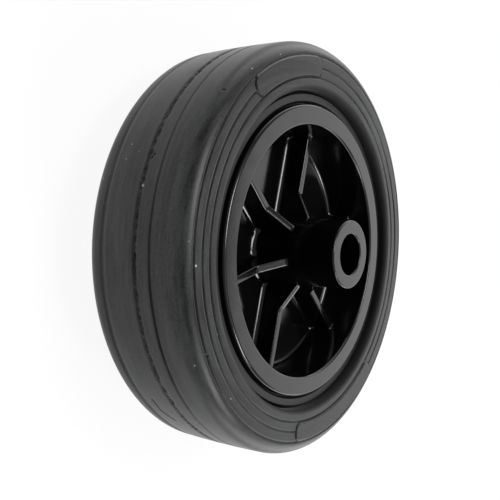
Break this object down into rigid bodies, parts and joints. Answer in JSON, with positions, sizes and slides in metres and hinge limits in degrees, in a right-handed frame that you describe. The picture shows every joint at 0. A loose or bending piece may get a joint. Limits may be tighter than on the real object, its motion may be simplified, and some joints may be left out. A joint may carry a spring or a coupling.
{
  "type": "lawn mower wheel",
  "caption": "Lawn mower wheel: solid black rubber tyre with fine grooves, on a black plastic centre with a ribbed web, a stepped rim and a long plain hub.",
  "frame": {"origin": "centre of the wheel: on the axle line, midway between the hub's two ends", "axes": "+Z along the axle line, out of the front; +X along one of the ribs"},
  "size_m": [0.125, 0.125, 0.0584],
  "materials": {
    "tyre": "dull black rubber, greyed by handling, with fine moulding lines",
    "wheel_centre": "satin black moulded plastic"
  },
  "bodies": {
    "root": {"tyre": "tyre", "wheel_centre": "wheel_centre"}
  },
  "joints": []
}
